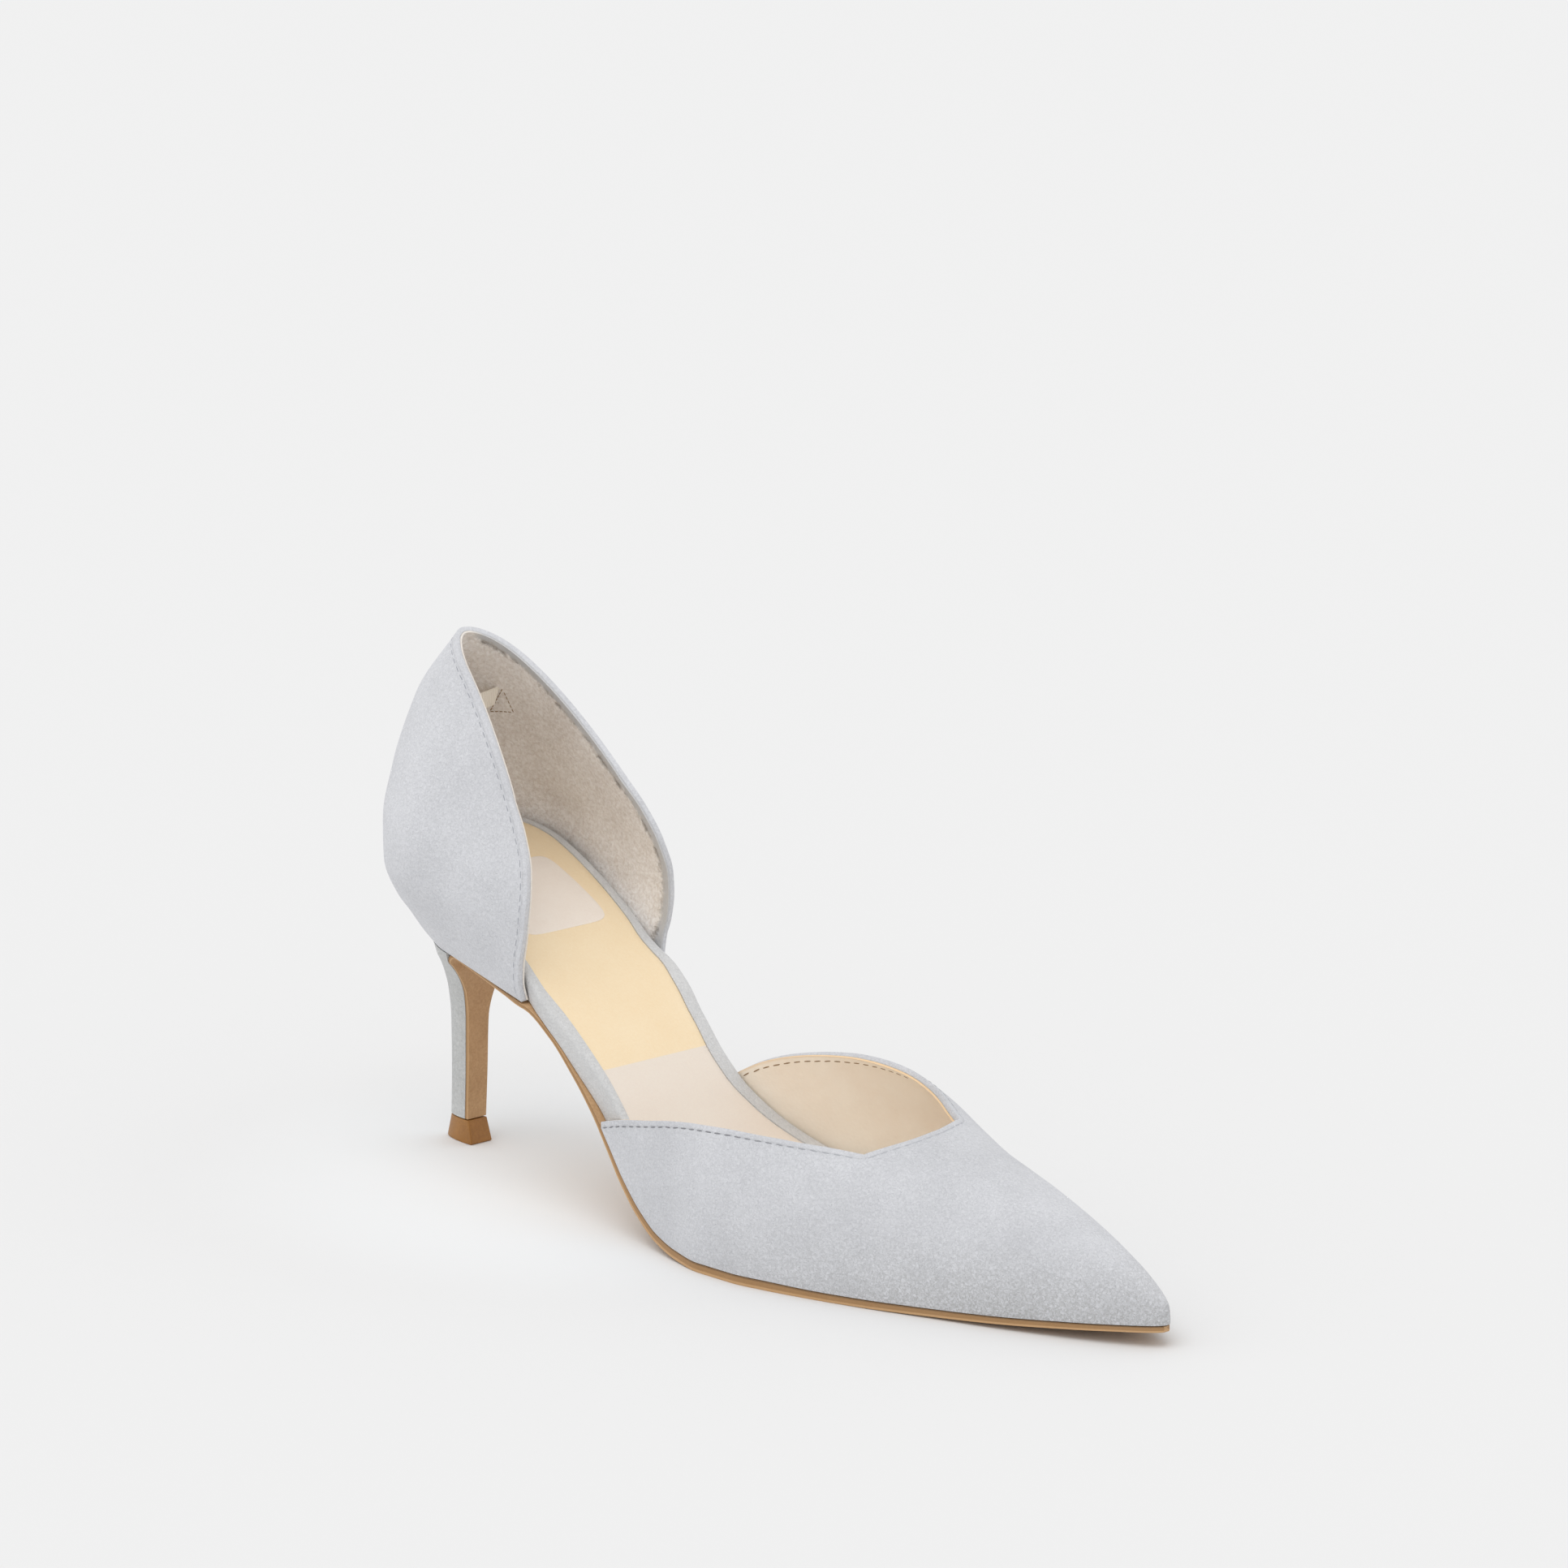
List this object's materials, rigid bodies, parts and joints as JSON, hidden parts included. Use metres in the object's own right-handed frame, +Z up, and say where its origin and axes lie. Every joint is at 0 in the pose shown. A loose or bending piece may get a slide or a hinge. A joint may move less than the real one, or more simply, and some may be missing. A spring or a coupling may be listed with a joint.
{
  "type": "high heel shoe",
  "caption": "Pointed open-waist court shoe for the right foot, with a low vamp, a separate leaf-shaped back quarter and a slim covered heel.",
  "frame": {"origin": "middle of the shoe's bounding box, on the floor it stands on", "axes": "+X to the toe, +Y to the inner side of the foot, +Z up"},
  "size_m": [0.2396, 0.0702, 0.1219],
  "materials": {
    "suede": "pale blue-grey suede with a soft nap",
    "tan_sole": "tan sole leather, satin",
    "caramel_lift": "caramel moulded top piece, satin",
    "sock_satin": "tan and cream satin-finished lining leather",
    "cream_ribbon": "woven cream ribbon"
  },
  "bodies": {
    "root": {"outsole": "tan_sole", "heel": "suede", "top_lift": "caramel_lift", "insole": "suede", "sock_liner": "sock_satin", "vamp": "suede", "back_quarter": "suede", "hang_loop": "cream_ribbon"}
  },
  "joints": []
}
